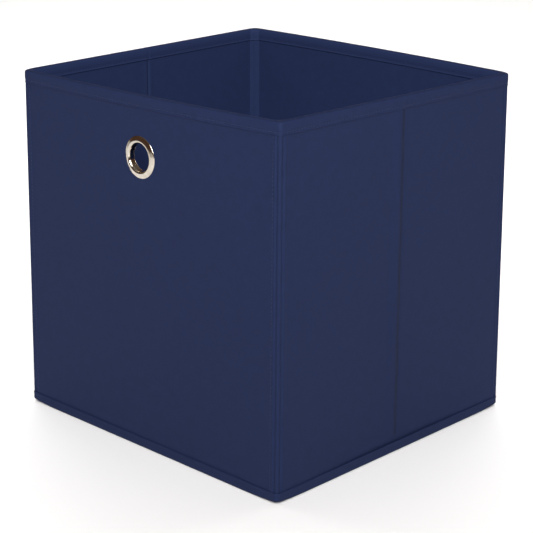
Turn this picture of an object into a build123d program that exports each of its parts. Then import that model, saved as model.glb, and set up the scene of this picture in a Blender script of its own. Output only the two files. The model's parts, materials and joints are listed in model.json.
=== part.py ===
from build123d import *
import os

# A cloth storage bin whose six card-stiffened wall panels fold flat.
# The origin is on the floor, at the middle of the footprint. The front, with the eyelet, faces -Y.
# All sizes are in millimetres.

# Overall sizes, over the wall covers
WIDTH = 298.0
DEPTH = 276.0
HEIGHT = 300.0

# Wall layers
CLOTH = 0.5  # outer cover and inner lining
CARD = 2.0  # stiffening card between them
CARD_EASE = 2.0  # card to the cloth's top and bottom edges
CARD_CORNER_EASE = 6.0  # card to a corner fold line
CARD_CREASE_EASE = 3.0  # card to a side crease

# Rim tape, folded over the top edge
TAPE = 0.6
TAPE_DROP = 11.0

# Fold lines
FOLD_ROOM = 0.4  # each face of the tipped-up base board to the wall beside it
SIDE_FOLD_IN = 1.0  # corner fold line, in from the side wall's lining
EYELET_ROOM = 0.8  # the clinched eyelet to the side wall folded beside it
CREASE_ROOM = 0.3  # side crease to the rim tape
CREASE_HALF_GAP = 0.5  # side crease to the end of each half's cloth
CORNER_GAP = 0.3  # a side half's end to the corner strip

# Corner strips, cover and lining sewn together with no card
STRIP = 1.2
CORNER_ROUND = 3.5

# Bottom cloth, with its edge turned up round the walls
HEM_RISE = 9.0
HEM_GAP = 0.3  # the turned-up edge to the walls that fold away from it

# Base board, a card in a sewn cloth case
BASE_CARD = 2.0
BASE_CLOTH = 0.5
BASE_MARGIN = 4.0  # sewn edge of the case, past the card
BASE_EDGE_ROUND = 1.4  # rounds the case's edges, so that its rear edge rolls over the bottom cloth
BASE_CORNER_ROUND = 3.0
BASE_SIDE_ROOM = 6.5  # board to the side walls, clear of the soft corners
BASE_FRONT_ROOM = 0.6  # board to the front wall
BASE_FLOOR_ROOM = 0.2  # board to the bottom cloth
BASE_TOP_ROOM = 0.6  # board to the walls' lower edges

# Eyelet, a flanged barrel clinched over a washer
EYELET_X = -4.0
EYELET_DROP = 51.5  # rim's top edge to the eyelet's centre
EYELET_HOLE_R = 11.2
EYELET_BARREL = 0.8
EYELET_FIT = 0.2  # barrel to the hole through the wall
FLANGE_WIDTH = 6.1  # hole's edge to the flange's edge
FLANGE_EDGE = 0.3
CROWN_IN = 3.1  # hole's edge to the top of the dome
CROWN_RISE = 1.7
MOUTH_RISE = 0.9
WASHER_WIDTH = 3.8
WASHER = 0.8
CLINCH_WIDTH = 1.6  # barrel's rolled edge, past the barrel
CLINCH = 0.4

# Where the layers lie
WALL = CLOTH + CARD + CLOTH
HALF_WIDTH = WIDTH / 2
HALF_DEPTH = DEPTH / 2
SIDE_INNER = HALF_WIDTH - WALL
END_INNER = HALF_DEPTH - WALL
BASE_THICK = BASE_CARD + 2 * BASE_CLOTH
BASE_LOW = CLOTH + BASE_FLOOR_ROOM
WALL_FOOT = BASE_LOW + BASE_THICK + BASE_TOP_ROOM
CLOTH_TOP = HEIGHT - TAPE
TAPE_FOOT = HEIGHT - TAPE_DROP

# Where the fold lines are. Folded flat, the rear gap between lining and lining takes the base board,
# and the front one takes the eyelet's washer.
BACK_FOLD_IN = BASE_THICK + 2 * FOLD_ROOM - SIDE_FOLD_IN
FRONT_FOLD_IN = WASHER + CLINCH + EYELET_ROOM - SIDE_FOLD_IN
FOLD_X = SIDE_INNER - SIDE_FOLD_IN
BACK_FOLD_Y = END_INNER - BACK_FOLD_IN
FRONT_FOLD_Y = -(END_INNER - FRONT_FOLD_IN)
CREASE_Y = (BACK_FOLD_Y + FRONT_FOLD_Y) / 2
CREASE_X = HALF_WIDTH + TAPE + CREASE_ROOM

EYELET_Z = HEIGHT - EYELET_DROP
BARREL_R = EYELET_HOLE_R + EYELET_BARREL
WALL_HOLE_R = BARREL_R + EYELET_FIT
BASE_PIVOT_Y = END_INNER - FOLD_ROOM - BASE_THICK / 2
BASE_PIVOT_Z = BASE_LOW + BASE_THICK / 2
BASE_HALF_WIDTH = SIDE_INNER - BASE_SIDE_ROOM
BASE_FRONT = -(END_INNER - BASE_FRONT_ROOM)
BASE_BACK = BASE_PIVOT_Y + BASE_THICK / 2


def block(across, along, up):
    """A box between two values on each axis."""
    low = Vector(min(across), min(along), min(up))
    high = Vector(max(across), max(along), max(up))
    size = high - low
    middle = (low + high) / 2
    return Pos(middle.X, middle.Y, middle.Z) * Box(size.X, size.Y, size.Z)


def panel(side, run, out, up):
    """A box on one wall: its run along the wall, its reach out from the middle, and its heights."""
    sign = 1 if side in ("right", "back") else -1
    reach = (sign * out[0], sign * out[1])
    if side in ("left", "right"):
        return block(reach, run, up)
    return block(run, reach, up)


def wall(name, side, outer, run, card_run):
    """The four layers of a wall panel: cover, card board, lining and rim tape."""
    inner = outer - WALL
    up = (WALL_FOOT, CLOTH_TOP)
    card_up = (WALL_FOOT + CARD_EASE, CLOTH_TOP - CARD_EASE)
    tape = panel(side, run, (inner - TAPE, outer + TAPE), (TAPE_FOOT, HEIGHT))
    return {
        f"{name}_cover": panel(side, run, (outer - CLOTH, outer), up),
        f"{name}_board": panel(side, card_run, (inner + CLOTH, outer - CLOTH), card_up),
        f"{name}_lining": panel(side, run, (inner, inner + CLOTH), up),
        f"{name}_rim": tape - panel(side, run, (inner, outer), up),
    }


def corner_area(fold_y, grow, inset=0.0):
    """The plan of the right-hand corner outside its fold lines, with a rounded outer edge."""
    sign = 1 if fold_y > 0 else -1
    start_x = FOLD_X - inset
    start_y = abs(fold_y) - inset
    width = HALF_WIDTH + grow - start_x
    depth = HALF_DEPTH + grow - start_y
    plan = Pos(start_x + width / 2, sign * (start_y + depth / 2)) * Rectangle(width, depth)
    outer_point = plan.vertices().sort_by(lambda v: v.X + sign * v.Y)[-1]
    return fillet(outer_point, CORNER_ROUND + grow)


def corner_strip(fold_y):
    """A right-hand corner's seam strip: a thin angle of cloth, closing the corner outside its fold line."""
    plan = corner_area(fold_y, 0.0) - corner_area(fold_y, -STRIP, inset=1.0)
    return Pos(0, 0, WALL_FOOT) * extrude(plan, TAPE_FOOT - WALL_FOOT)


def corner_rim(fold_y):
    """The bunched rim tape over a right-hand corner."""
    return Pos(0, 0, TAPE_FOOT) * extrude(corner_area(fold_y, TAPE), TAPE_DROP)


def on_left(shape):
    """The same shape on the left-hand side."""
    return mirror(shape, about=Plane.YZ)


def base_card():
    """The card inside the base board."""
    return block(
        (-BASE_HALF_WIDTH + BASE_MARGIN, BASE_HALF_WIDTH - BASE_MARGIN),
        (BASE_FRONT + BASE_MARGIN, BASE_BACK - BASE_MARGIN),
        (BASE_LOW + BASE_CLOTH, BASE_LOW + BASE_CLOTH + BASE_CARD),
    )


def base_case(outer, middle):
    """One half of the base board's cloth case, from its outer face to its sewn middle, hollowed for the card."""
    whole = block((-BASE_HALF_WIDTH, BASE_HALF_WIDTH), (BASE_FRONT, BASE_BACK), (outer, middle))
    whole = fillet(whole.edges().filter_by(Axis.Z), BASE_CORNER_ROUND)
    outer_edges = whole.edges().group_by(Axis.Z)[0 if outer < middle else -1]
    return fillet(outer_edges, BASE_EDGE_ROUND) - base_card()


def bottom_cloth():
    """The bottom cloth: a flat floor with a turned-up hem, sewn to the back wall's cover."""
    out_x = HALF_WIDTH + HEM_GAP + CLOTH
    out_front = -(HALF_DEPTH + HEM_GAP + CLOTH)
    out_back = HALF_DEPTH + CLOTH
    whole = block((-out_x, out_x), (out_front, out_back), (0, HEM_RISE))
    inside = block(
        (-out_x + CLOTH, out_x - CLOTH),
        (out_front + CLOTH, out_back - CLOTH),
        (CLOTH, HEM_RISE + 1),
    )
    return fillet(whole.edges().filter_by(Axis.Z), CORNER_ROUND + CLOTH) - fillet(
        inside.edges().filter_by(Axis.Z), CORNER_ROUND
    )


def ring(inner, outer, low, high):
    """A flat ring about the Z axis."""
    return Pos(0, 0, low) * extrude(Circle(outer) - Circle(inner), high - low)


def eyelet_face():
    """The eyelet's domed flange, barrel and clinched edge, about Z, with Z = 0 on the wall's cover."""
    depth = WALL + WASHER + CLINCH
    mouth = (EYELET_HOLE_R, MOUTH_RISE)
    crown = (EYELET_HOLE_R + CROWN_IN, CROWN_RISE)
    edge = (EYELET_HOLE_R + FLANGE_WIDTH, FLANGE_EDGE)
    with BuildPart() as part:
        with BuildSketch(Plane.XZ):
            with BuildLine():
                dome = ThreePointArc(mouth, crown, edge)
                Polyline(
                    dome @ 1,
                    (EYELET_HOLE_R + FLANGE_WIDTH, 0),
                    (BARREL_R, 0),
                    (BARREL_R, CLINCH - depth),
                    (BARREL_R + CLINCH_WIDTH, CLINCH - depth),
                    (BARREL_R + CLINCH_WIDTH, -depth),
                    (EYELET_HOLE_R, -depth),
                    dome @ 0,
                )
            make_face()
        revolve(axis=Axis.Z)
    return part.part


def on_front(shape):
    """A shape about Z, placed on the front wall's cover at the eyelet, with its Z pointing out of the bin."""
    return Plane(origin=(EYELET_X, -HALF_DEPTH, EYELET_Z), x_dir=(1, 0, 0), z_dir=(0, -1, 0)) * shape


end_run = (-FOLD_X, FOLD_X)
end_card_run = (CARD_CORNER_EASE - FOLD_X, FOLD_X - CARD_CORNER_EASE)
rear_run = (CREASE_Y + CREASE_HALF_GAP, BACK_FOLD_Y - CORNER_GAP)
rear_card_run = (CREASE_Y + CARD_CREASE_EASE, BACK_FOLD_Y - CARD_CORNER_EASE)
front_run = (FRONT_FOLD_Y + CORNER_GAP, CREASE_Y - CREASE_HALF_GAP)
front_card_run = (FRONT_FOLD_Y + CARD_CORNER_EASE, CREASE_Y - CARD_CREASE_EASE)

parts = {}
parts.update(wall("back", "back", HALF_DEPTH, end_run, end_card_run))
parts.update(wall("front", "front", HALF_DEPTH, end_run, end_card_run))
for hand in ("left", "right"):
    parts.update(wall(f"{hand}_rear", hand, HALF_WIDTH, rear_run, rear_card_run))
    parts.update(wall(f"{hand}_front", hand, HALF_WIDTH, front_run, front_card_run))

# The eyelet's hole goes through every layer of the front wall.
hole = on_front(Pos(0, 0, -WALL / 2) * Cylinder(WALL_HOLE_R, 2 * WALL))
for layer in ("front_cover", "front_board", "front_lining"):
    parts[layer] = parts[layer] - hole

for end, fold_y in (("rear", BACK_FOLD_Y), ("front", FRONT_FOLD_Y)):
    strip = corner_strip(fold_y)
    tape = corner_rim(fold_y)
    parts[f"{end}_right_corner_strip"] = strip
    parts[f"{end}_left_corner_strip"] = on_left(strip)
    rim = "back_rim" if end == "rear" else "front_rim"
    parts[rim] = parts[rim] + tape + on_left(tape)

parts["bottom_cloth"] = bottom_cloth()
parts["base_card"] = base_card()
parts["base_case_bottom"] = base_case(BASE_LOW, BASE_PIVOT_Z)
parts["base_case_top"] = base_case(BASE_LOW + BASE_THICK, BASE_PIVOT_Z)

parts["eyelet_face"] = on_front(eyelet_face())
parts["eyelet_washer"] = on_front(ring(WALL_HOLE_R, WALL_HOLE_R + WASHER_WIDTH, -WALL - WASHER, -WALL))

os.makedirs("parts", exist_ok=True)
for node, shape in parts.items():
    export_step(shape, f"parts/{node}.step")
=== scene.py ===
import json
import math

import bpy
import numpy as np
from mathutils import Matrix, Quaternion, Vector


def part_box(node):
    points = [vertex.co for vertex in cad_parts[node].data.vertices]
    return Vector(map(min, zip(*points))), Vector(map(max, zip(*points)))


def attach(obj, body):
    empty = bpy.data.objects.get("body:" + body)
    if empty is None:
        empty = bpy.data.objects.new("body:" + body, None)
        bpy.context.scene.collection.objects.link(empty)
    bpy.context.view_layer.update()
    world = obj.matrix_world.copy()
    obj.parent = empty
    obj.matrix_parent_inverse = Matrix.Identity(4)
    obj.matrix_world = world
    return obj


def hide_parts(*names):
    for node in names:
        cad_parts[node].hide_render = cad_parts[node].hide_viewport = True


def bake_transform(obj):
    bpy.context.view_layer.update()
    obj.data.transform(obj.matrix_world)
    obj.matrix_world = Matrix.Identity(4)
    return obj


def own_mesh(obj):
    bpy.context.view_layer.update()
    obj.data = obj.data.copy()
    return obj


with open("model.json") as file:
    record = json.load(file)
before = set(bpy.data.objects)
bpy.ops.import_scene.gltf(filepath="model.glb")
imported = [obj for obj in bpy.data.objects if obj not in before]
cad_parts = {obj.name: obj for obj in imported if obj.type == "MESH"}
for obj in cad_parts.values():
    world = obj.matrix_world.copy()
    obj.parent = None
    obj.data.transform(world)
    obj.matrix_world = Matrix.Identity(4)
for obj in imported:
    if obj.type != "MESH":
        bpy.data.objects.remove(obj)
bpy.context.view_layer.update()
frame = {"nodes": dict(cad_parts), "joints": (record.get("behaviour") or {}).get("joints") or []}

# A navy cloth storage bin that folds flat. Each wall is a card board between an outer cover and a
# lining, closed at the top by a folded tape. The cloth goes round the corners and the side creases,
# so the shell is built as a ring of runs: a straight run on each rigid panel, and a soft run at each
# corner and crease, between the two panels it joins.
# Sizes are in metres. The overall sizes and places come from the frame.

MM = 0.001
joints = {j["name"]: j for j in frame["joints"]}

OUT_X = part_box("right_rear_cover")[1].x
OUT_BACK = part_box("back_cover")[1].y
OUT_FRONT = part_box("front_cover")[0].y
WALL = OUT_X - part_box("right_rear_lining")[0].x
WALL_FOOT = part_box("back_cover")[0].z
CLOTH_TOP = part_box("back_cover")[1].z
TAPE_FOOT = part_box("front_rim")[0].z
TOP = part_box("front_rim")[1].z
TAPE = TOP - CLOTH_TOP
HEM_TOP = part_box("bottom_cloth")[1].z
CREASE_Y = joints["right_crease"]["pos_m"][1]
EYELET_LOW, EYELET_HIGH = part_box("eyelet_face")
EYELET = (EYELET_LOW + EYELET_HIGH) / 2
WASHER_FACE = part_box("eyelet_washer")[1].y

# The cloth's own sizes
CLOTH = 0.5 * MM
UNDER_TAPE = CLOTH_TOP - 0.4 * MM  # where the covers and linings end, inside the tape
EYELET_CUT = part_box("eyelet_washer")[1].x - EYELET.x - 3.6 * MM  # the radius cut in the cloth
SOFT_CORNER = 10.5 * MM  # a soft corner reaches this far along each wall from the sharp corner
CORNER_RADIUS = 3.4 * MM
WEB_START = 9.4 * MM  # the inner web leaves the lining where the card ends
SOFT_CREASE = 5.2 * MM  # a soft crease reaches this far each way
CREASE_DEPTH = 1.1 * MM
SHOULDER = 13 * MM  # in front of the crease the cover rises over this much, and falls behind it
CREASE_HEM = 15 * MM  # the crease fades out this far above the floor
FRONT_FLARE = 3.1 * MM  # how far the front and back covers stand out at the foot
SIDE_FLARE = 1.7 * MM  # the folding sides stand out less
FRONT_LEFT_RISE = -1.1 * MM  # how far each corner of the rim stands above its even height
FRONT_RIGHT_RISE = 2.2 * MM
REAR_RIGHT_RISE = -0.4 * MM
REAR_LEFT_RISE = 1.3 * MM
FRONT_DIP = 1.5 * MM
BACK_HUMP = 1.1 * MM
STITCH_PITCH = 3.2 * MM
STITCH_LENGTH = 2.3 * MM
STITCH_RISE = 0.5 * MM
THREAD_RADIUS = 0.24 * MM
RIM_STITCH_DROP = 8.7 * MM  # the rim's top edge to its row of stitches
SEAM_FROM_EDGE = 6.3 * MM  # a corner's edge to its row of stitches
CORNER_GAP = 1.7  # and its corners stand this many millimetres clear of the floor


# ---------------------------------------------------------------------------------------------
# Small tools


def linear(hex_colour):
    """An sRGB hex colour, such as "2A3352", as linear RGBA."""
    parts = [int(hex_colour[i:i + 2], 16) / 255 for i in (0, 2, 4)]
    return [c / 12.92 if c <= 0.04045 else ((c + 0.055) / 1.055) ** 2.4 for c in parts] + [1.0]


def add(tree, kind, inputs=None, stops=(), **settings):
    """One node with its settings. Its inputs are values, other nodes' outputs, or other nodes, whose
    first output is used. A colour ramp's stops are its places, in order, with their hex colours."""
    node = tree.nodes.new(kind)
    for key, value in settings.items():
        setattr(node, key, value)
    for number, (place, colour) in enumerate(stops):
        ramp = node.color_ramp.elements
        stop = ramp[number] if number < 2 else ramp.new(place)
        stop.position = place
        stop.color = linear(colour)
    for key, value in (inputs or {}).items():
        if isinstance(value, bpy.types.Node):
            value = value.outputs[0]
        if isinstance(value, bpy.types.NodeSocket):
            tree.links.new(value, node.inputs[key])
        else:
            node.inputs[key].default_value = value
    return node


def put_in_scene(name, data):
    """A new object that shows this data."""
    made = bpy.data.objects.new(name, data)
    bpy.context.scene.collection.objects.link(made)
    return made


def bump_near(value, centre, width):
    """A smooth bump of height 1 at centre, as wide as width each way."""
    return np.exp(-(((value - centre) / width) ** 2))


def ease(value, low, high):
    """0 below low, 1 above high, and smooth between."""
    t = np.clip((value - low) / (high - low), 0, 1)
    return t * t * (3 - 2 * t)


def spread(low, high, step):
    """Values from low to high, about a step apart."""
    return np.linspace(low, high, max(2, int(round((high - low) / step)) + 1))


def ripple(along, up, seed, height, wave):
    """The slight unevenness of cloth over card: a few crossing waves, the same for the same seed."""
    rng = np.random.default_rng(seed)
    total = np.zeros_like(along)
    for _ in range(6):
        turn = rng.uniform(0, math.pi)
        length = wave * rng.uniform(0.6, 1.6)
        phase = rng.uniform(0, 2 * math.pi)
        total += np.sin((along * math.cos(turn) + up * math.sin(turn)) * 2 * math.pi / length + phase)
    return height * total / 6


# ---------------------------------------------------------------------------------------------
# Meshes


def grid_faces(rows, columns):
    """The faces of a grid of points, row by row, facing out where columns run along and rows up."""
    faces = []
    for r in range(rows - 1):
        for c in range(columns - 1):
            a = r * columns + c
            faces.append((a, a + 1, a + columns + 1, a + columns))
    return faces


def piece(name, points, faces, material, uv=None, sharp=()):
    """A smooth-shaded mesh object. sharp lists the point pairs whose edges stay crisp."""
    mesh = bpy.data.meshes.new(name)
    mesh.from_pydata([tuple(p) for p in points], [], faces)
    mesh.polygons.foreach_set("use_smooth", [True] * len(mesh.polygons))
    if uv is not None:
        layer = mesh.uv_layers.new(name="UVMap")
        corner_point = np.zeros(len(mesh.loops), int)
        mesh.loops.foreach_get("vertex_index", corner_point)
        layer.data.foreach_set("uv", np.asarray(uv, float)[corner_point].ravel())
    if len(sharp):
        wanted = {frozenset(pair) for pair in sharp}
        crisp = [frozenset(e.vertices) in wanted for e in mesh.edges]
        mesh.attributes.new("sharp_edge", "BOOLEAN", "EDGE").data.foreach_set("value", crisp)
    mesh.materials.append(material)
    return put_in_scene(name, mesh)


def mark_points(made, name, values):
    """Keeps a value for each point of a piece, for its material to read."""
    made.data.attributes.new(name, "FLOAT", "POINT").data.foreach_set("value", values)


def cloth_piece(name, points, under, faces, material, uv):
    """A closed sheet of cloth: its face, its under side, and the cut edge between them."""
    count = len(points)
    edges = set()
    for face in faces:
        for a, b in zip(face, face[1:] + face[:1]):
            edges.add((a, b))
    border = [(a, b) for a, b in sorted(edges) if (b, a) not in edges]
    under_faces = [tuple(i + count for i in reversed(face)) for face in faces]
    edge_faces = [(b, a, a + count, b + count) for a, b in border]
    sharp = border + [(a + count, b + count) for a, b in border]
    return piece(
        name,
        np.vstack([points, under]),
        list(faces) + under_faces + edge_faces,
        material,
        uv=np.vstack([uv, uv]),
        sharp=sharp,
    )


def grid_pairs(along, up):
    """Every pairing of the values along with those up, row by row, as two flat arrays."""
    a, u = np.meshgrid(along, up)
    return a.ravel(), u.ravel()


def around_patch(low, patch, high, step):
    """The patch's own values, and others about a step apart from low up to it and from it to high."""
    return np.concatenate([spread(low, patch[0], step)[:-1], patch, spread(patch[-1], high, step)[1:]])


def panel_with_hole(low, high, left, right, hole_at, hole_radius, step):
    """Flat points (along, up) and faces of a panel with a round hole, ringed by a square patch."""
    half = 26 * MM
    cells = 16
    inner_a = np.linspace(hole_at[0] - half, hole_at[0] + half, cells + 1)
    inner_u = np.linspace(hole_at[1] - half, hole_at[1] + half, cells + 1)
    along = around_patch(left, inner_a, right, step)
    up = around_patch(low, inner_u, high, step)
    first_a = int(np.argmin(abs(along - inner_a[0])))
    first_u = int(np.argmin(abs(up - inner_u[0])))
    columns = len(along)
    a, u = grid_pairs(along, up)
    faces = []
    for face in grid_faces(len(up), columns):
        row, column = divmod(face[0], columns)
        if not (first_u <= row < first_u + cells and first_a <= column < first_a + cells):
            faces.append(face)
    square = [(first_u, first_a + i) for i in range(cells)]
    square += [(first_u + i, first_a + cells) for i in range(cells)]
    square += [(first_u + cells, first_a + cells - i) for i in range(cells)]
    square += [(first_u + cells - i, first_a) for i in range(cells)]
    ring = [row * columns + column for row, column in square]
    edge = np.array([(a[i], u[i]) for i in ring]) - np.array(hole_at)
    on_circle = edge / np.linalg.norm(edge, axis=1)[:, None] * hole_radius
    points = [(a[i], u[i]) for i in range(len(a))]
    for share in (0.35, 0.6, 0.8, 1.0):
        start = len(points)
        for outer, inner in zip(edge, on_circle):
            at = outer + (inner - outer) * share
            points.append((hole_at[0] + at[0], hole_at[1] + at[1]))
        new_ring = list(range(start, start + len(ring)))
        for i in range(len(ring)):
            j = (i + 1) % len(ring)
            faces.append((ring[i], ring[j], new_ring[j], new_ring[i]))
        ring = new_ring
    used = sorted({i for face in faces for i in face})
    place = {old: new for new, old in enumerate(used)}
    points = np.array([points[i] for i in used])
    return points, [tuple(place[i] for i in face) for face in faces]


# ---------------------------------------------------------------------------------------------
# The ring of runs. A run's place is its distance along the outer face, and its height. It goes round
# anticlockwise, seen from above. Each run gives its outer face, its inner face, and the way out.


def out_of(tangent):
    """The way out of a wall that runs along tangent."""
    return np.array((tangent[1], -tangent[0]))


class Straight:
    """A flat panel of wall. A folding side's crease is its place along the run, and 1 or -1, the way from
    it to the bin's front. crease_share is how deep it is pressed."""

    def __init__(self, start, tangent, length, seed, crease=None, crease_share=1.0, eyelet=None):
        self.start = np.array(start)
        self.tangent = np.array(tangent)
        self.out = out_of(tangent)
        self.length = length
        self.inner_length = length
        self.seed = seed
        self.crease = crease
        self.crease_share = crease_share
        self.eyelet = eyelet

    def plan(self, s):
        middle = self.start + np.outer(s, self.tangent)
        return middle, np.repeat([self.out], len(s), axis=0), middle - WALL * self.out

    def held(self, s, z):
        """0 where seams and tape hold the cloth to the card, and 1 in the middle of the panel."""
        across = ease(s, 0, 30 * MM) * ease(self.length - s, 0, 30 * MM)
        return across * ease(z, 10 * MM, 45 * MM) * ease(TAPE_FOOT - z, 0, 30 * MM)

    def from_crease(self, s):
        """The distance in front of the crease, negative behind it."""
        at, way_to_front = self.crease
        return (s - at) * way_to_front

    def outer_lift(self, s, z):
        lift = self.held(s, z) * (ripple(s, z, self.seed, 0.32 * MM, 105 * MM) + 0.12 * MM)
        if self.crease:
            lift = lift + self.crease_share * crease_profile(self.from_crease(s), z)
        if self.eyelet:
            away = np.hypot(s - self.eyelet[0], z - self.eyelet[1])
            lift = lift - 0.28 * MM * bump_near(away, 14 * MM, 9 * MM)
        return lift

    def lean(self, s, z):
        """How far the cover stands out towards the foot, as a flat vector. A folding side stands out less
        near its crease, where its halves close up."""
        share = 0.2 + 0.8 * ease(abs(self.from_crease(s)), 10 * MM, 120 * MM) if self.crease else 1.0
        return np.outer(foot_flare(self.tangent) * (1 - z / TOP) * share, self.out)

    def inner_lift(self, s, z):
        lift = self.held(s, z) * ripple(s, z, self.seed + 50, 0.25 * MM, 90 * MM)
        if self.crease:
            lift = lift + inner_crease_profile(self.from_crease(s), z)
        return lift


class Corner:
    """A soft corner, where cover and lining meet with no card: rounded outside, a narrow web inside."""

    crease = None
    eyelet = None

    def __init__(self, point, tangent, next_tangent):
        self.point = np.array(point)
        self.before = np.array(tangent)
        self.after = np.array(next_tangent)
        self.out_before = out_of(tangent)
        self.out_after = out_of(next_tangent)
        self.flat = SOFT_CORNER - CORNER_RADIUS
        self.length = 2 * self.flat + CORNER_RADIUS * math.pi / 2
        self.lead = SOFT_CORNER - WEB_START
        self.chamfer = (WEB_START - WALL) * math.sqrt(2)
        self.inner_length = 2 * self.lead + self.chamfer

    def plan(self, s):
        turn = np.clip((s - self.flat) / CORNER_RADIUS, 0, math.pi / 2)
        centre = self.point + CORNER_RADIUS * (self.after - self.before)
        normal = np.cos(turn)[:, None] * self.out_before + np.sin(turn)[:, None] * self.before
        straight_before = np.minimum(s - self.flat, 0)[:, None] * self.before
        straight_after = np.maximum(s - self.length + self.flat, 0)[:, None] * self.after
        outer = centre + CORNER_RADIUS * normal + straight_before + straight_after
        return outer, normal, self.web(s / self.length)

    def web(self, share):
        """The inner face: along the lining, straight across the corner, and along the next lining."""
        inner_corner = self.point + WALL * (self.after - self.before)
        past = share * self.inner_length - self.lead
        first = inner_corner - (WEB_START - WALL) * self.before
        across = (self.after + self.before) / math.sqrt(2)
        walk = first + np.minimum(past, 0)[:, None] * self.before
        walk = walk + np.clip(past, 0, self.chamfer)[:, None] * across
        return walk + np.maximum(past - self.chamfer, 0)[:, None] * self.after

    def outer_lift(self, s, z):
        from_middle = abs(s - self.length / 2)
        seam = ease(TAPE_FOOT + 2 * MM - z, 0, 6 * MM)
        lift = -0.95 * MM * bump_near(from_middle, 2.9 * MM, 0.9 * MM)
        lift = lift + 0.25 * MM * bump_near(from_middle, 5.1 * MM, 1.2 * MM)
        lift = lift + 0.3 * MM * bump_near(from_middle, 0, 0.9 * MM)
        return lift * (0.25 + 0.75 * seam)

    def lean(self, s, z):
        """Each wall's stand-out towards the foot, fading where the next wall starts."""
        share = 1 - z / TOP
        first = foot_flare(self.before) * share * ease(self.length - s, 0, self.flat)
        second = foot_flare(self.after) * share * ease(s, 0, self.flat)
        return np.outer(first, self.out_before) + np.outer(second, self.out_after)

    def inner_lift(self, s, z):
        from_middle = (s - self.length / 2) / self.length
        ridge = 0.5 * MM * bump_near(from_middle, 0.02, 0.07)
        return ridge - 0.25 * MM * bump_near(abs(from_middle), 0.3, 0.08)


def rim_rise(flat):
    """How far the rim stands above its even height: each corner by its own, with a dip or hump between."""
    across = np.clip(flat[:, 0] / OUT_X, -1, 1)
    deep = np.clip((2 * flat[:, 1] - OUT_BACK - OUT_FRONT) / (OUT_BACK - OUT_FRONT), -1, 1)
    to_right, to_back = (1 + across) / 2, (1 + deep) / 2
    front = FRONT_LEFT_RISE + (FRONT_RIGHT_RISE - FRONT_LEFT_RISE) * to_right
    back = REAR_LEFT_RISE + (REAR_RIGHT_RISE - REAR_LEFT_RISE) * to_right
    dip = (1 - across ** 2) * (BACK_HUMP * to_back ** 2 - FRONT_DIP * (1 - to_back) ** 2)
    return front + (back - front) * to_back + dip


def raised(flat, z):
    """Points at z, with their share of the rim's rise, which spreads down the upper half of the wall."""
    return np.column_stack([flat, z + rim_rise(flat) * ease(z, 0.4 * TOP, 0.97 * TOP)])


def foot_flare(tangent):
    """How far a wall's cover stands out at the foot."""
    return SIDE_FLARE if tangent[1] else FRONT_FLARE


def crease_fade(z):
    """The pressed crease runs from a little above the hem to the tape, and shows faintly in the tape."""
    from_tape = 0.25 + 0.75 * ease(TAPE_FOOT + 1 * MM - z, 0, 5 * MM)
    return from_tape * ease(z, CREASE_HEM - 4 * MM, CREASE_HEM + 6 * MM)


def crease_profile(front, z):
    """A pressed crease in the cover. front is the distance in front of it, negative behind."""
    rise = 1 - ease(front, 0.5 * MM, SHOULDER)
    fall = ease(front, -3.8 * MM, 0.8 * MM)
    dip = 0.2 * MM * bump_near(front, -4 * MM, 2.2 * MM)
    return (CREASE_DEPTH * rise * fall - dip) * crease_fade(z)


def pressed(run, s, z):
    """1 along the crease, where the cover's colour gets painted shade, and 0 away from it."""
    if not run.crease:
        return np.zeros(len(s))
    return bump_near(run.from_crease(s), -1.6 * MM, 2.3 * MM) * crease_fade(z)


def inner_crease_profile(front, z):
    """The same crease on the lining: a fine line between two soft edges of card."""
    line = -0.9 * MM * bump_near(front, 0, 0.8 * MM)
    edges = 0.3 * MM * bump_near(abs(front), 3 * MM, 1.8 * MM)
    return (line + edges) * (0.3 + 0.7 * ease(TAPE_FOOT - z, 0, 4 * MM))


def outer_points(run, s, z, extra=0.0):
    """Points of a run's outer face, pushed out by extra."""
    outer, normal, _ = run.plan(s)
    return raised(outer + run.lean(s, z) + normal * (run.outer_lift(s, z) + extra)[:, None], z)


def inner_points(run, s, z, extra=0.0):
    """Points of a run's inner face, pushed into the bin by extra."""
    _, _, inner = run.plan(s)
    step = 0.02 * MM
    ahead = run.plan(np.minimum(s + step, run.length))[2]
    behind = run.plan(np.maximum(s - step, 0))[2]
    along = ahead - behind
    along = along / np.linalg.norm(along, axis=1)[:, None]
    into = np.column_stack([-along[:, 1], along[:, 0]])
    return raised(inner + into * (run.inner_lift(s, z) + extra)[:, None], z)


FRONT_TO = (1.0, 0.0)  # each wall's way along
RIGHT_TO = (0.0, 1.0)
BACK_TO = (-1.0, 0.0)
LEFT_TO = (0.0, -1.0)
FRONT_LENGTH = 2 * (OUT_X - SOFT_CORNER)
REAR_LENGTH = OUT_BACK - SOFT_CORNER - CREASE_Y
FORE_LENGTH = CREASE_Y - OUT_FRONT - SOFT_CORNER
EYELET_AT = (EYELET.x + OUT_X - SOFT_CORNER, EYELET.z)

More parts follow.
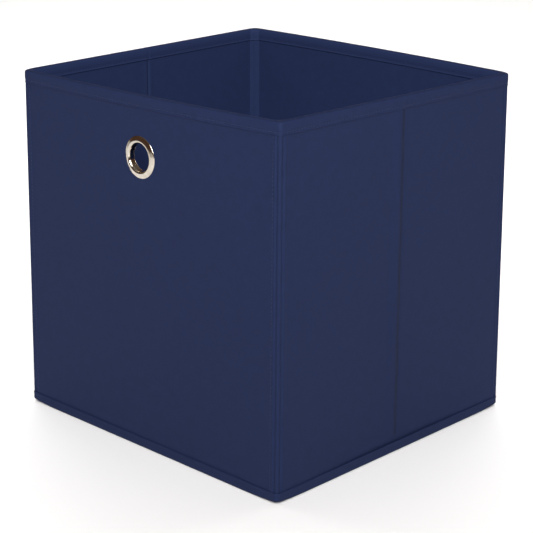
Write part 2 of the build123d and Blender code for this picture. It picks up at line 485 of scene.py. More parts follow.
runs = {
    "front": Straight((-OUT_X + SOFT_CORNER, OUT_FRONT), FRONT_TO, FRONT_LENGTH, seed=11, eyelet=EYELET_AT),
    "front_right_corner": Corner((OUT_X, OUT_FRONT), FRONT_TO, RIGHT_TO),
    "right_front": Straight(
        (OUT_X, OUT_FRONT + SOFT_CORNER),
        RIGHT_TO,
        FORE_LENGTH - SOFT_CREASE,
        seed=12,
        crease=(FORE_LENGTH, -1),
    ),
    "right_crease": Straight(
        (OUT_X, CREASE_Y - SOFT_CREASE), RIGHT_TO, 2 * SOFT_CREASE, seed=12, crease=(SOFT_CREASE, -1)
    ),
    "right_rear": Straight(
        (OUT_X, CREASE_Y + SOFT_CREASE),
        RIGHT_TO,
        REAR_LENGTH - SOFT_CREASE,
        seed=13,
        crease=(-SOFT_CREASE, -1),
    ),
    "rear_right_corner": Corner((OUT_X, OUT_BACK), RIGHT_TO, BACK_TO),
    "back": Straight((OUT_X - SOFT_CORNER, OUT_BACK), BACK_TO, FRONT_LENGTH, seed=14),
    "rear_left_corner": Corner((-OUT_X, OUT_BACK), BACK_TO, LEFT_TO),
    "left_rear": Straight(
        (-OUT_X, OUT_BACK - SOFT_CORNER),
        LEFT_TO,
        REAR_LENGTH,
        seed=15,
        crease=(REAR_LENGTH, 1),
        crease_share=0.2,
    ),
    "left_front": Straight(
        (-OUT_X, CREASE_Y), LEFT_TO, FORE_LENGTH, seed=16, crease=(0, 1), crease_share=0.2
    ),
    "front_left_corner": Corner((-OUT_X, OUT_FRONT), LEFT_TO, FRONT_TO),
}
bodies = {
    "front": ("front_wall",),
    "front_right_corner": ("front_wall", "right_front"),
    "right_front": ("right_front",),
    "right_crease": ("right_front", "right_rear"),
    "right_rear": ("right_rear",),
    "rear_right_corner": ("right_rear", "back_wall"),
    "back": ("back_wall",),
    "rear_left_corner": ("back_wall", "left_rear"),
    "left_rear": ("left_rear",),
    "left_front": ("left_front",),
    "front_left_corner": ("left_front", "front_wall"),
}


def join_to_bodies(made, name):
    """A piece on a straight run rides on its panel; one on a soft run is left where it is, on no panel."""
    pair = bodies[name]
    if len(pair) == 1:
        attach(made, pair[0])
        return
    run = runs[name]
    ends = run.plan(np.array([0.0, run.length]))[0]
    if isinstance(run, Corner):
        # Both ends move in by half the wall; nothing uses them after this.
        inset = (WALL / 2 + TAPE) * (run.before + run.after)
        ends = ends + np.array([inset, -inset])
    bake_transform(made)


# ---------------------------------------------------------------------------------------------
# Materials


def start_material(name):
    """A new material, with its node tree and its shader."""
    material = bpy.data.materials.new(name)
    material.use_nodes = True
    return material, material.node_tree, material.node_tree.nodes["Principled BSDF"]


def cloth_material(name, deep, pale, roughness, emboss):
    """Non-woven polypropylene, of spun fibres laid at random and bonded by small hot points: matt and
    soft, with faint clouds, fine streaks of fibre and slanting rows of small dents."""
    material, tree, shader = start_material(name)
    shader.inputs["Roughness"].default_value = roughness
    shader.inputs["Specular IOR Level"].default_value = 0.16
    shader.inputs["IOR"].default_value = 1.49
    shader.inputs["Sheen Weight"].default_value = 0.02
    shader.inputs["Sheen Roughness"].default_value = 0.45
    shader.inputs["Sheen Tint"].default_value = linear("7C86B0")
    uv = add(tree, "ShaderNodeUVMap", uv_map="UVMap").outputs["UV"]
    # The web of fibres is a little thicker and thinner every few millimetres.
    cloud_inputs = {"Vector": uv, "Scale": 1 / (9 * MM), "Detail": 5, "Roughness": 0.62}
    cloud = add(tree, "ShaderNodeTexNoise", cloud_inputs).outputs["Fac"]
    # Real fibres are about 0.02 mm thick, too fine to show, so these are 0.7 mm.
    drawn = add(tree, "ShaderNodeMapping", {"Vector": uv, "Rotation": (0, 0, 0.5), "Scale": (1, 0.22, 1)})
    fibre_inputs = {"Vector": drawn, "Scale": 1 / (0.7 * MM), "Detail": 3, "Distortion": 0.6}
    fibre = add(tree, "ShaderNodeTexNoise", fibre_inputs).outputs["Fac"]
    mixed_inputs = {0: 0.35, 2: cloud, 3: fibre}
    mixed = add(tree, "ShaderNodeMix", mixed_inputs, data_type="FLOAT")
    ramp = add(tree, "ShaderNodeValToRGB", {"Fac": mixed}, stops=((0.3, deep), (0.7, pale)))
    # Painted shade: along the side crease and over the tape's rounded top, a mask darkens the colour towards
    # a dark navy, standing in for the shade that falls there.
    painted_shade_mask = add(tree, "ShaderNodeAttribute", attribute_name="pressed").outputs["Fac"]
    share = add(tree, "ShaderNodeMath", {0: painted_shade_mask, 1: 0.42}, operation="MULTIPLY")
    colour_inputs = {0: share, 6: ramp.outputs["Color"], 7: linear("060B1C")}
    colour = add(tree, "ShaderNodeMix", colour_inputs, data_type="RGBA")
    # Painted light: a mask makes the half of the tape that goes inside paler, standing in for light that
    # falls on the outside but not in the bin.
    painted_light_mask = add(tree, "ShaderNodeAttribute", attribute_name="painted_light").outputs["Fac"]
    painted_light_inputs = {0: painted_light_mask, 6: colour.outputs[2], 7: linear("232F53")}
    painted_light_colour = add(tree, "ShaderNodeMix", painted_light_inputs, data_type="RGBA")
    tree.links.new(painted_light_colour.outputs[2], shader.inputs["Base Color"])
    # Bond points stand in slanting rows 1.5 mm apart.
    rows = add(tree, "ShaderNodeMapping", {"Vector": uv, "Rotation": (0, 0, math.pi / 4)})
    split = add(tree, "ShaderNodeSeparateXYZ", {0: rows})
    waves = []
    for axis in ("X", "Y"):
        turned_inputs = {0: split.outputs[axis], 1: 2 * math.pi / (1.5 * MM)}
        turned = add(tree, "ShaderNodeMath", turned_inputs, operation="MULTIPLY")
        waves.append(add(tree, "ShaderNodeMath", {0: turned}, operation="COSINE"))
    both = add(tree, "ShaderNodeMath", {0: waves[0], 1: waves[1]}, operation="ADD")
    point_inputs = {"Value": both, "From Min": 0.6, "From Max": 1.5, "To Min": 1.0, "To Max": 0.0}
    point = add(tree, "ShaderNodeMapRange", point_inputs, interpolation_type="SMOOTHSTEP")
    height_inputs = {0: 0.45, 2: point, 3: fibre}
    height = add(tree, "ShaderNodeMix", height_inputs, data_type="FLOAT")
    fine = add(tree, "ShaderNodeBump", {"Strength": emboss, "Distance": 0.12 * MM, "Height": height})
    broad_inputs = {"Strength": 0.35, "Distance": 0.35 * MM, "Height": cloud, "Normal": fine}
    broad = add(tree, "ShaderNodeBump", broad_inputs)
    tree.links.new(broad.outputs[0], shader.inputs["Normal"])
    return material


def nickel_plated_steel():
    """Pressed steel, tumbled and nickel-plated: bright and faintly warm, with soft hairlines."""
    material, tree, shader = start_material("steel_pressed_and_nickel_plated")
    shader.inputs["Metallic"].default_value = 1.0
    place = add(tree, "ShaderNodeTexCoord").outputs["Object"]
    cloud_inputs = {"Vector": place, "Scale": 1 / (4 * MM), "Detail": 4}
    cloud = add(tree, "ShaderNodeTexNoise", cloud_inputs).outputs["Fac"]
    tone = add(tree, "ShaderNodeValToRGB", {"Fac": cloud}, stops=((0.35, "C4BCB0"), (0.7, "D2CBC1")))
    tree.links.new(tone.outputs["Color"], shader.inputs["Base Color"])
    rough = add(tree, "ShaderNodeMapRange", {"Value": cloud, "To Min": 0.08, "To Max": 0.16})
    tree.links.new(rough.outputs[0], shader.inputs["Roughness"])
    drawn = add(tree, "ShaderNodeMapping", {"Vector": place, "Scale": (1, 1, 0.1)})
    hairs = add(tree, "ShaderNodeTexNoise", {"Vector": drawn, "Scale": 1 / (0.25 * MM)}).outputs["Fac"]
    bump = add(tree, "ShaderNodeBump", {"Strength": 0.12, "Distance": 0.02 * MM, "Height": hairs})
    tree.links.new(bump.outputs[0], shader.inputs["Normal"])
    return material


def pulp_board():
    """Grey board pressed from waste paper pulp: matt and warm grey, with dark and pale specks of fibre."""
    material, tree, shader = start_material("grey_board_pressed_from_pulp")
    shader.inputs["Roughness"].default_value = 0.9
    place = add(tree, "ShaderNodeTexCoord").outputs["Object"]
    fleck_inputs = {"Vector": place, "Scale": 1 / (2.5 * MM), "Detail": 6}
    fleck = add(tree, "ShaderNodeTexNoise", fleck_inputs).outputs["Fac"]
    tone = add(tree, "ShaderNodeValToRGB", {"Fac": fleck}, stops=((0.3, "7B7062"), (0.7, "A79B89")))
    tree.links.new(tone.outputs["Color"], shader.inputs["Base Color"])
    bump = add(tree, "ShaderNodeBump", {"Strength": 0.3, "Distance": 0.1 * MM, "Height": fleck})
    tree.links.new(bump.outputs[0], shader.inputs["Normal"])
    return material


def stitch_thread():
    """Spun polyester sewing thread, two plies twisted: as matt as the cloth, with slanting plies."""
    material, tree, shader = start_material("polyester_thread_spun_and_twisted")
    shader.inputs["Roughness"].default_value = 0.65
    shader.inputs["Specular IOR Level"].default_value = 0.2
    shader.inputs["Sheen Weight"].default_value = 0.05
    place = add(tree, "ShaderNodeTexCoord").outputs["Object"]
    ply_inputs = {"Vector": place, "Scale": 1 / (1.2 * MM), "Distortion": 1.0}
    ply = add(tree, "ShaderNodeTexWave", ply_inputs, bands_direction="DIAGONAL").outputs["Fac"]
    tone = add(tree, "ShaderNodeValToRGB", {"Fac": ply}, stops=((0, "1B2543"), (1, "222D52")))
    tree.links.new(tone.outputs["Color"], shader.inputs["Base Color"])
    bump = add(tree, "ShaderNodeBump", {"Strength": 0.4, "Distance": 0.05 * MM, "Height": ply})
    tree.links.new(bump.outputs[0], shader.inputs["Normal"])
    return material


outer_cloth = cloth_material("polypropylene_spunbond_cover", "172240", "1B2648", 0.82, 0.5)
# The lining is painted paler than the cover: painted light, standing in for light that reaches the cover but
# not the inside of the bin.
lining_cloth = cloth_material("polypropylene_spunbond_lining", "1E2A4B", "222E53", 0.86, 0.45)
tape_cloth = cloth_material("polypropylene_spunbond_folded_tape", "172240", "1C274A", 0.8, 0.5)
metal = nickel_plated_steel()
board = pulp_board()
thread = stitch_thread()


# ---------------------------------------------------------------------------------------------
# Covers, linings and tape


def wall_grid(run, cell):
    """Places on a run, along and up, about a cell apart, with their faces: finer where the cloth bends."""
    if run.eyelet:
        plan, faces = panel_with_hole(WALL_FOOT, UNDER_TAPE, 0, run.length, run.eyelet, EYELET_CUT, cell)
        return plan[:, 0], plan[:, 1], faces
    up = spread(WALL_FOOT, UNDER_TAPE, cell)
    soft = isinstance(run, Corner) or run.length <= 4 * SOFT_CREASE
    along = spread(0, run.length, 0.45 * MM if soft else cell)
    if run.crease and not soft:
        near = np.arange(max(0, run.crease[0] - 14 * MM), min(run.length, run.crease[0] + 14 * MM), 0.5 * MM)
        far = along[abs(along - run.crease[0]) > 16 * MM]
        along = np.unique(np.round(np.concatenate([[0, run.length], near, far]), 6))
    s, z = grid_pairs(along, up)
    return s, z, grid_faces(len(up), len(along))


def make_cover(name, run):
    """The outer cloth of a run, over its card."""
    s, z, faces = wall_grid(run, 4 * MM)
    face = outer_points(run, s, z)
    under = outer_points(run, s, z, -CLOTH)
    made = cloth_piece(f"{name}_cover_cloth", face, under, faces, outer_cloth, np.column_stack([s, z]))
    # Painted shade along the crease: a mask that darkens the cover's colour there.
    mark_points(made, "pressed", np.tile(pressed(run, s, z), 2))
    finish_cloth(made, name, "cover")


def make_lining(name, run):
    """The inner cloth of a run, facing into the bin."""
    s, z, faces = wall_grid(run, 5 * MM)
    turned = [tuple(reversed(face)) for face in faces]
    face = inner_points(run, s, z)
    under = inner_points(run, s, z, -CLOTH)
    made = cloth_piece(f"{name}_lining_cloth", face, under, turned, lining_cloth, np.column_stack([s, z]))
    finish_cloth(made, name, "lining")


def tape_section():
    """The folded tape's cross-section: the share of the way from the inner to the outer face, and the
    distance out from there, and the height. It goes up outside, over the top, down inside, and back
    along the face that touches the covers and linings."""
    radius = 2.1 * MM
    side = ((0, 0.75), (0.25, 0.95), (0.9, 0.85), (1.8, 0.52), (2.8, 0.75), (4.4, 1.05), (6.4, 1.0))
    outside = [(1, thick * TAPE, TAPE_FOOT + height * MM) for height, thick in side]
    outside.append((1, 0.85 * TAPE, TOP - radius))
    points = list(outside)
    for step in range(1, 8):
        turn = math.pi * step / 8
        height = TOP - radius + radius * math.sin(turn)
        points.append((0.5 + 0.5 * math.cos(turn), 0.85 * TAPE * math.cos(turn), height))
    points += [(0, -offset, height) for _, offset, height in reversed(outside)]
    hidden = (TAPE_FOOT, TAPE_FOOT + 5 * MM, CLOTH_TOP - 0.6 * MM)
    points += [(0, 0.02 * MM, height) for height in hidden]
    return points + [(1, -0.02 * MM, height) for height in reversed(hidden)]


def make_tape(name, run):
    """The tape over a run's top edge, drawn in a little at each stitch."""
    along = spread(0, run.length, STITCH_PITCH / 4)
    columns = len(along)
    section = tape_section()
    drawn_in = 0.5 + 0.5 * np.cos(along * 2 * math.pi / STITCH_PITCH)
    points = []
    lengths = [0.0]
    for share, offset, height in section:
        z = np.full(columns, height)
        inside = inner_points(run, along, z)[:, :2]
        through = outer_points(run, along, z)[:, :2] - inside
        across = through / np.linalg.norm(through, axis=1)[:, None]
        pinch = 0.16 * MM * bump_near(height, TOP - RIM_STITCH_DROP, 1.6 * MM) * drawn_in
        shift = np.full(columns, offset)
        if abs(offset) > 0.1 * MM:
            shift = offset - math.copysign(1, offset) * pinch
        points.append(raised(inside + through * share + across * shift[:, None], z))
    count = len(section)
    for before, after in zip(points, points[1:] + points[:1]):
        lengths.append(lengths[-1] + float(np.linalg.norm(after[0] - before[0])))
    faces = []
    for r in range(count):
        for c in range(columns - 1):
            a = r * columns + c
            b = ((r + 1) % count) * columns + c
            faces.append((a, a + 1, b + 1, b))
    faces.append(tuple(r * columns for r in range(count)))
    faces.append(tuple(r * columns + columns - 1 for r in reversed(range(count))))
    uv = np.vstack([np.column_stack([along, np.full(columns, lengths[r])]) for r in range(count)])
    last = columns - 1
    sharp = []
    for r in range(count):
        n = (r + 1) % count
        sharp.append((r * columns, n * columns))
        sharp.append((r * columns + last, n * columns + last))
    made = piece(f"{name}_rim_tape", np.vstack(points), faces, tape_cloth, uv=uv, sharp=sharp)
    # Painted light on the tape's inside face, which is painted paler than the outside.
    mark_points(made, "painted_light", np.repeat([float(share < 0.05) for share, _, _ in section], columns))
    # Painted shade over the tape's rounded top, so that it is no lighter than the walls.
    mark_points(made, "pressed", np.repeat([0.9 * (0.04 < share < 0.93) for share, _, _ in section], columns))
    finish_cloth(made, name, "rim")


def finish_cloth(made, name, layer):
    """Hides the frame's parts that a cloth piece replaces, and joins it to its panel where it has one."""
    node = f"{name}_{layer}"
    if node in frame["nodes"]:
        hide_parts(node)
    strip = f"{name}_strip"
    if layer == "cover" and strip in frame["nodes"]:
        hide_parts(strip)
    join_to_bodies(made, name)


for run_name, run in runs.items():
    make_cover(run_name, run)
    make_lining(run_name, run)
    make_tape(run_name, run)


# ---------------------------------------------------------------------------------------------
# Stitches


def stitch_tree():
    """A Geometry Nodes tree that lays thread stitches along a seam's line."""
    tree = bpy.data.node_groups.new("lock_stitch_row", "GeometryNodeTree")
    face = tree.interface
    face.new_socket("Seam", in_out="INPUT", socket_type="NodeSocketGeometry")
    for name in ("Pitch", "Stitch length", "Stitch rise", "Thread radius"):
        face.new_socket(name, in_out="INPUT", socket_type="NodeSocketFloat")
    face.new_socket("Seed", in_out="INPUT", socket_type="NodeSocketInt")
    face.new_socket("Thread", in_out="INPUT", socket_type="NodeSocketMaterial")
    face.new_socket("Stitches", in_out="OUTPUT", socket_type="NodeSocketGeometry")
    given = add(tree, "NodeGroupInput").outputs
    seam = add(tree, "GeometryNodeMeshToCurve", {0: given["Seam"]})
    spaced = {"Curve": seam, "Length": given["Pitch"]}
    centres = add(tree, "GeometryNodeResampleCurve", spaced, mode="LENGTH")
    # One stitch is an arch of thread, from under the cloth, up over it and under it again.
    half = add(tree, "ShaderNodeMath", {0: given["Stitch length"], 1: 0.5}, operation="MULTIPLY")
    back = add(tree, "ShaderNodeMath", {0: given["Stitch length"], 1: -0.5}, operation="MULTIPLY")
    sunk = add(tree, "ShaderNodeMath", {0: given["Thread radius"], 1: -1.0}, operation="MULTIPLY")
    arch_inputs = {
        "Resolution": 5,
        "Start": add(tree, "ShaderNodeCombineXYZ", {"X": back, "Z": sunk}),
        "Middle": add(tree, "ShaderNodeCombineXYZ", {"Z": given["Stitch rise"]}),
        "End": add(tree, "ShaderNodeCombineXYZ", {"X": half, "Z": sunk}),
    }
    arch = add(tree, "GeometryNodeCurveQuadraticBezier", arch_inputs)
    round_inputs = {"Resolution": 6, "Radius": given["Thread radius"]}
    circle = add(tree, "GeometryNodeCurvePrimitiveCircle", round_inputs)
    thick = {"Curve": arch, "Profile Curve": circle, "Fill Caps": True}
    stitch = add(tree, "GeometryNodeCurveToMesh", thick)
    # It lies along the seam, stands out of the cloth, and is turned a little at random.
    along = add(tree, "GeometryNodeInputTangent")
    away = add(tree, "GeometryNodeInputNamedAttribute", {"Name": "away"}, data_type="FLOAT_VECTOR")
    lie = add(tree, "FunctionNodeAlignRotationToVector", {"Vector": along}, axis="X")
    upright = {"Rotation": lie, "Vector": away}
    stand = add(tree, "FunctionNodeAlignRotationToVector", upright, axis="Z", pivot_axis="X")
    skew_inputs = {0: (-0.03, -0.03, -0.07), 1: (0.03, 0.03, 0.07), "Seed": given["Seed"]}
    skew = add(tree, "FunctionNodeRandomValue", skew_inputs, data_type="FLOAT_VECTOR")
    turned = {"Rotation": stand, "Rotate By": skew}
    skewed = add(tree, "FunctionNodeRotateRotation", turned, rotation_space="LOCAL")
    placed = {"Points": centres, "Instance": stitch, "Rotation": skewed}
    laid = add(tree, "GeometryNodeInstanceOnPoints", placed)
    real = add(tree, "GeometryNodeRealizeInstances", {0: laid})
    smooth = add(tree, "GeometryNodeSetShadeSmooth", {0: real})
    coloured = add(tree, "GeometryNodeSetMaterial", {"Geometry": smooth, "Material": given["Thread"]})
    add(tree, "NodeGroupOutput", {0: coloured})
    return tree


stitch_nodes = stitch_tree()


def stitch_row(name, lines, seed, pitch=STITCH_PITCH):
    """Real thread along each line of points, with the way each point faces, as one plain mesh."""
    points = np.vstack([line for line, _ in lines])
    away = np.vstack([way for _, way in lines])
    edges = []
    start = 0
    for line, _ in lines:
        edges += [(start + i, start + i + 1) for i in range(len(line) - 1)]
        start += len(line)
    mesh = bpy.data.meshes.new(f"{name}_line")
    mesh.from_pydata([tuple(p) for p in points], edges, [])
    kept = mesh.attributes.new("away", "FLOAT_VECTOR", "POINT")
    kept.data.foreach_set("vector", away.astype(np.float32).ravel())
    seam = put_in_scene(f"{name}_line", mesh)
    modifier = seam.modifiers.new("stitches", "NODES")
    modifier.node_group = stitch_nodes
    sockets = {s.name: s.identifier for s in stitch_nodes.interface.items_tree if s.in_out == "INPUT"}
    modifier[sockets["Pitch"]] = pitch
    modifier[sockets["Stitch length"]] = STITCH_LENGTH * pitch / STITCH_PITCH
    modifier[sockets["Stitch rise"]] = STITCH_RISE
    modifier[sockets["Thread radius"]] = THREAD_RADIUS
    modifier[sockets["Seed"]] = seed
    modifier[sockets["Thread"]] = thread
    made_mesh = bpy.data.meshes.new_from_object(seam.evaluated_get(bpy.context.evaluated_depsgraph_get()))
    bpy.data.objects.remove(seam)
    return put_in_scene(name, made_mesh)


def facing(run, s, inwards=False):
    """The way a run's outer or inner face looks, as three-part vectors."""
    normal = run.plan(s)[1]
    if inwards and isinstance(run, Straight):
        normal = -normal
    if inwards and isinstance(run, Corner):
        normal = np.repeat([(run.after - run.before) / math.sqrt(2)], len(s), axis=0)
    return np.column_stack([normal, np.zeros(len(s))])


def rim_stitches(name, run, seed):
    """The row that holds the tape, outside and inside."""
    s = np.arange(STITCH_PITCH / 2, run.length, STITCH_PITCH / 4)
    z = np.full(len(s), TOP - RIM_STITCH_DROP)
    lift = 0.45 * TAPE
    lines = [
        (outer_points(run, s, z, lift), facing(run, s)),
        (inner_points(run, s, z, lift), facing(run, s, inwards=True)),
    ]
    made = stitch_row(f"{name}_rim_stitches", lines, seed)
    join_to_bodies(made, name)


for number, (run_name, run) in enumerate(runs.items()):
    rim_stitches(run_name, run, number)


def corner_stitches(name, run, seed):
    """The row that joins cover and lining beside a corner's edge, on the front or the back wall."""
    z = spread(HEM_TOP + 2 * MM, TAPE_FOOT - 2 * MM, 2 * MM)
    side = -1 if abs(run.before[0]) > 0.5 else 1
    s = np.full(len(z), run.length / 2 + side * SEAM_FROM_EDGE)
    lines = [(outer_points(run, s, z, -0.05 * MM), facing(run, s))]
    made = stitch_row(f"{name}_seam_stitches", lines, seed)
    join_to_bodies(made, name)


for number, run_name in enumerate([n for n, r in runs.items() if isinstance(r, Corner)]):
    corner_stitches(run_name, runs[run_name], 40 + number)


# ---------------------------------------------------------------------------------------------
# Bottom cloth


def rounded_loop(half_x, front, back, radius, per_corner=9, step=6 * MM):
    """Points round a rectangle with rounded corners, anticlockwise, with the way each faces."""
    points = []
    ways = []
    corners = (
        ((half_x - radius, front + radius), -90),
        ((half_x - radius, back - radius), 0),
        ((-half_x + radius, back - radius), 90),
        ((-half_x + radius, front + radius), 180),
    )
    for number, (centre, first) in enumerate(corners):
        for i in range(per_corner):
            turn = math.radians(first + 90 * i / (per_corner - 1))
            way = np.array((math.cos(turn), math.sin(turn)))
            points.append(np.array(centre) + radius * way)
            ways.append(way)
        next_centre, next_first = corners[(number + 1) % 4]
        turn = math.radians(next_first)
        way = np.array((math.cos(turn), math.sin(turn)))
        ahead = np.array(next_centre) + radius * way
        last = points[-1]
        steps = int(np.linalg.norm(ahead - last) / step)
        for i in range(1, steps):
            points.append(last + (ahead - last) * i / steps)
            ways.append(way)
    return np.array(points), np.array(ways)


def foot_bend(radius, angles, middle=2.2):
    """Points round the foot's bend, in millimetres, as (distance out of the wall, height)."""
    turns = [math.radians(a) for a in angles]
    return [(-middle + radius * math.cos(a), middle - radius * math.sin(a)) for a in turns]


def bottom_cloth():
    """The bin's floor of cloth, turned up outside the walls as a hem and folded over at its top edge."""
    low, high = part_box("bottom_cloth")
    half_x = high.x + SIDE_FLARE
    front = low.y - FRONT_FLARE
    back = high.y + FRONT_FLARE
    loop, way = rounded_loop(half_x, front, back, 4.6 * MM)
    count = len(loop)
    corner_x = abs(abs(loop[:, 0]) - half_x)
    corner_y = np.minimum(abs(loop[:, 1] - front), abs(loop[:, 1] - back))
    at_corner = bump_near(np.hypot(corner_x, corner_y), 0, 15 * MM)
    # The section, as (distance out of the wall, height) in millimetres: the side that shows, from the
    # hem's folded top down and in under the bin, and then the side that doesn't show, back again.
    shown = [(-0.35, 6.4), (-0.35, 8.7), (-0.1, 9.1), (0.05, 8.9), (0.1, 7.5), (-0.05, 6.2), (0.0, 4.0)]
    shown += [(0.0, 2.4)] + foot_bend(2.2, (25, 50, 75)) + [(-2.4, 0.0), (-14.0, 0.0)]
    hidden = [(-14.0, 0.5), (-2.6, 0.5)] + foot_bend(1.7, (75, 50, 25)) + [(-0.5, 2.4), (-0.5, 4.0)]
    section = shown + hidden
    rings = []
    for outset, height in section:
        lift = CORNER_GAP * at_corner * max(0.0, 1 - height / 7.0) * ease(np.array(outset), -9.0, -1.0)
        shift = outset * MM - FRONT_FLARE / TOP * height * MM
        wave = 0.1 * MM * np.sin(np.arange(count) * 0.9) * (1 if height > 6 else 0)
        rings.append(np.column_stack([loop + way * shift, (height + lift) * MM + wave]))
    faces = []
    outer_end = len(shown) - 1
    for r in range(len(section)):
        if r == outer_end:
            continue
        n = (r + 1) % len(section)
        for c in range(count):
            d = (c + 1) % count
            faces.append((r * count + c, n * count + c, n * count + d, r * count + d))
    faces.append(tuple(outer_end * count + c for c in reversed(range(count))))
    faces.append(tuple((outer_end + 1) * count + c for c in range(count)))
    round_it = np.concatenate([[0], np.cumsum(np.linalg.norm(np.diff(loop, axis=0), axis=1))])
    uv = []
    for (outset, _), ring in zip(section, rings):
        under_bin = outset <= -2.3
        uv.append(ring[:, :2] if under_bin else np.column_stack([round_it, ring[:, 2]]))
    made = piece("bottom_cloth_and_hem", np.vstack(rings), faces, outer_cloth, uv=np.vstack(uv))
    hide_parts("bottom_cloth")
    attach(made, "back_wall")
    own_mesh(made)


bottom_cloth()


# ---------------------------------------------------------------------------------------------
# Base board


def finer_at_ends(low, high):
    """Values from low to high: a millimetre apart in the sewn margins, and 6 mm apart between them."""
    margin = 12 * MM
    first = spread(low, low + margin, MM)
    middle = spread(low + margin, high - margin, 6 * MM)
    last = spread(high - margin, high, MM)
    return np.unique(np.round(np.concatenate([first, middle, last]), 6))


def base_case():
    """The base board's sewn case: two sheets over the card, drawn together along the sewn margin."""
    low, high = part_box("base_case_bottom")
    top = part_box("base_case_top")[1].z
    middle = high.z
    for name, face_z, node in (("top", top, "base_case_top"), ("bottom", low.z, "base_case_bottom")):
        x = finer_at_ends(low.x, high.x)
        y = finer_at_ends(low.y, high.y)
        a, u = grid_pairs(x, y)
        edge = np.minimum(np.minimum(a - low.x, high.x - a), np.minimum(u - low.y, high.y - u))
        rise = (face_z - middle) * (0.3 + 0.7 * ease(edge, 1.6 * MM, 5.2 * MM))
        rise = rise * (1 - 0.1 * ease(edge, 6 * MM, 40 * MM) * (1 + ripple(a, u, 71, 1.0, 70 * MM)))
        under = np.where(edge < 4.4 * MM, 0.0, rise - np.sign(face_z - middle) * CLOTH * 0.8)
        faces = grid_faces(len(y), len(x))
        if name == "bottom":
            faces = [tuple(reversed(face)) for face in faces]
        made = cloth_piece(
            f"base_board_{name}_cloth",
            np.column_stack([a, u, middle + rise]),
            np.column_stack([a, u, middle + under]),
            faces,
            lining_cloth,
            np.column_stack([a, u]),
        )
        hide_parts(node)
        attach(made, "base_board")
    inset = 3.4 * MM
    loop, _ = rounded_loop(high.x - inset, low.y + inset, high.y - inset, 3 * MM, per_corner=4)
    loop = np.vstack([loop, loop[:1]])
    height = middle + (top - middle) * 0.62
    line = np.column_stack([loop, np.full(len(loop), height)])
    up = np.repeat([(0.0, 0.0, 1.0)], len(loop), axis=0)
    stitches = stitch_row("base_board_stitches", [(line, up)], 61, pitch=3.6 * MM)
    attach(stitches, "base_board")


base_case()


# ---------------------------------------------------------------------------------------------
# Eyelet


def turned_part(name, outline, material, around=128):
    """A ring turned about the eyelet's axis, from its outline as (radius, distance out of the wall)."""
    points = []
    uv = []
    count = len(outline)
    for i in range(around):
        turn = 2 * math.pi * i / around
        for radius, out in outline:
            x = EYELET.x + radius * math.cos(turn)
            z = EYELET.z + radius * math.sin(turn)
            points.append((x, OUT_FRONT - out, z))
            uv.append((radius * turn, out))
    faces = []
    for i in range(around):
        j = (i + 1) % around
        for k in range(count):
            n = (k + 1) % count
            faces.append((i * count + k, j * count + k, j * count + n, i * count + n))
    return piece(name, points, faces, material, uv=uv)


def smooth_outline(points, per_span=5):
    """A closed outline eased through its points, in millimetres, returned in metres."""
    points = np.array(points)
    count = len(points)
    made = []
    for i in range(count):
        p0, p1, p2, p3 = (points[(i + k - 1) % count] for k in range(4))
        for step in range(per_span):
            t = step / per_span
            a = -0.5 * p0 + 1.5 * p1 - 1.5 * p2 + 0.5 * p3
            b = p0 - 2.5 * p1 + 2 * p2 - 0.5 * p3
            c = 0.5 * (p2 - p0)
            made.append((((a * t + b) * t + c) * t + p1) * MM)
    return made


def eyelet():
    """The eyelet: a flange that rises to a rounded crown and turns down into a plain barrel, whose end is
    clinched over the washer inside the wall. The outlines are in millimetres."""
    hole = 11.2
    edge = (EYELET_HIGH.x - EYELET.x) / MM
    inside = (WASHER_FACE - OUT_FRONT) / MM
    face_outline = [
        (edge - 0.1, 0.06),
        (edge, 0.25),
        (edge - 0.25, 0.55),
        (edge - 0.9, 0.92),
        (edge - 1.9, 1.33),
        (edge - 3.0, 1.76),
        (edge - 3.9, 1.95),
        (edge - 4.5, 1.84),
        (edge - 5.0, 1.52),
        (edge - 5.4, 1.1),
        (edge - 5.7, 0.55),
        (edge - 5.9, -0.1),
        (hole + 0.12, -1.0),
        (hole + 0.12, -1.8),
        (hole + 0.12, -inside + 0.3),
        (hole + 0.05, -inside),
        (hole + 0.2, -inside - 0.3),
        (hole + 0.9, -inside - 0.42),
        (hole + 2.0, -inside - 0.3),
        (hole + 2.3, -inside),
        (hole + 1.1, -inside + 0.1),
        (hole + 0.8, -inside + 0.6),
        (hole + 0.8, -1.6),
        (hole + 1.0, -0.6),
        (hole + 1.6, -0.15),
        (hole + 4.0, -0.14),
    ]
    face = turned_part("eyelet_flange_and_barrel", smooth_outline(face_outline), metal)
    ring_outline = [
        (hole + 1.1, -inside + 0.02),
        (hole + 2.4, -inside - 0.12),
        (hole + 3.8, -inside - 0.05),
        (hole + 4.7, -inside + 0.35),
        (hole + 4.8, -inside + 0.75),
        (hole + 3.6, -inside + 0.7),
        (hole + 1.2, -inside + 0.7),
    ]
    ring = turned_part("eyelet_back_washer", smooth_outline(ring_outline), metal)
    for made, node in ((face, "eyelet_face"), (ring, "eyelet_washer")):
        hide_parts(node)
        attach(made, "front_wall")


eyelet()

for node_name, node in frame["nodes"].items():
    if node_name.endswith("_board") or node_name == "base_card":
        node.data.materials.clear()
        node.data.materials.append(board)


# ---------------------------------------------------------------------------------------------
# Floor, light and camera


def painted_floor_board():
    """Board with a matt white paint: it takes soft shadows and no reflection."""
    material, _, shader = start_material("painted_floor_board")
    shader.inputs["Base Color"].default_value = linear("F8F8F8")
    shader.inputs["Roughness"].default_value = 0.9
    shader.inputs["Specular IOR Level"].default_value = 0.1
    return material


def floor():
    """A wide pale floor, out to where the pale room takes over."""
    half = 2.2
    corners = [(-half, -half, 0), (half, -half, 0), (half, half, 0), (-half, half, 0)]
    piece("floor", corners, [(0, 1, 2, 3)], painted_floor_board())


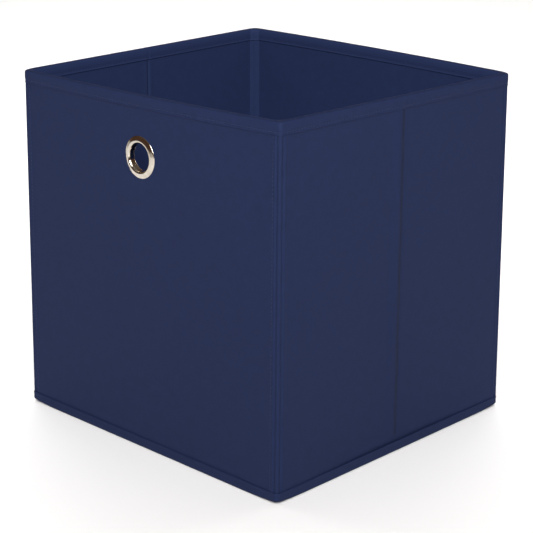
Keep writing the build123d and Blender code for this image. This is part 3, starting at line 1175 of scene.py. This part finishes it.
def aimed(name, light, place, target):
    """A lamp at its place, turned to its target."""
    lamp = put_in_scene(name, light)
    lamp.location = place
    lamp.rotation_euler = (Vector(target) - Vector(place)).to_track_quat("-Z", "Y").to_euler()
    return lamp


def soft_box(name, place, target, size, power, seen_in_metal=True):
    """A rectangular lamp. The ones that would blot the eyelet aren't seen in metal."""
    light = bpy.data.lights.new(name, "AREA")
    light.shape = "RECTANGLE"
    light.size, light.size_y = size
    light.energy = power
    aimed(name, light, place, target).visible_glossy = seen_in_metal


def studio():
    """A large soft box in front, three over the floor behind and beside the bin, and a snooted lamp into
    it, in a dim warm room that is pale at the floor's level."""
    world = bpy.data.worlds.new("studio")
    bpy.context.scene.world = world
    world.use_nodes = True
    tree = world.node_tree
    ground = tree.nodes["Background"]
    ground.inputs["Strength"].default_value = 1.0
    way = add(tree, "ShaderNodeTexCoord").outputs["Generated"]
    height = add(tree, "ShaderNodeSeparateXYZ", {0: way}).outputs["Z"]
    # Pale at the floor's level, brown above it, and a dull grey overhead.
    stops = ((0, "CCC8C4"), (0.04, "533D2F"), (0.5, "533D2F"), (1, "716C66"))
    room = add(tree, "ShaderNodeValToRGB", {"Fac": height}, stops=stops)
    tree.links.new(room.outputs["Color"], ground.inputs["Color"])
    soft_box("soft_box_front", (1.5, -1.5, 1.75), (0, 0, 0.15), (1.6, 1.6), 85)
    soft_box("soft_box_behind", (-1.9, 1.9, 2.0), (-1.5, 1.5, 0), (2.4, 2.4), 40, seen_in_metal=False)
    soft_box("floor_box_left", (-1.1, 0.1, 1.3), (-1.1, 0.1, 0), (1.0, 1.4), 13, seen_in_metal=False)
    soft_box("floor_box_right", (-0.1, 1.1, 1.3), (-0.1, 1.1, 0), (1.4, 1.0), 13, seen_in_metal=False)
    snooted_lamp()


def snooted_lamp():
    """A narrow soft-edged beam from high in front, over the near rim and into the bin."""
    light = bpy.data.lights.new("snooted_lamp", "SPOT")
    light.energy = 18.5
    light.spot_size = math.radians(16)
    light.spot_blend = 0.7
    light.shadow_soft_size = 0.08
    aimed("snooted_lamp", light, (1.1, -1.1, 1.35), (-0.07, 0.06, 0.27))


def camera():
    """A long lens, a little above the bin, looking at its front right corner."""
    azimuth, elevation, roll = math.radians(44.1), math.radians(17.9), math.radians(0.23)
    target = Vector((0.0008, 0.001, 0.1272))
    distance = 1.429
    level = math.cos(elevation)
    back = Vector((math.sin(azimuth) * level, -math.cos(azimuth) * level, math.sin(elevation)))
    data = bpy.data.cameras.new("camera")
    data.sensor_width = 36
    data.lens = 111.2
    data.clip_start = 0.05
    data.clip_end = 100
    made = put_in_scene("camera", data)
    made.location = target + back * distance
    made.rotation_mode = "QUATERNION"
    made.rotation_quaternion = Quaternion(back, roll) @ (-back).to_track_quat("-Z", "Y")
    bpy.context.scene.camera = made


floor()
studio()
camera()
bpy.context.scene.view_settings.view_transform = "Standard"
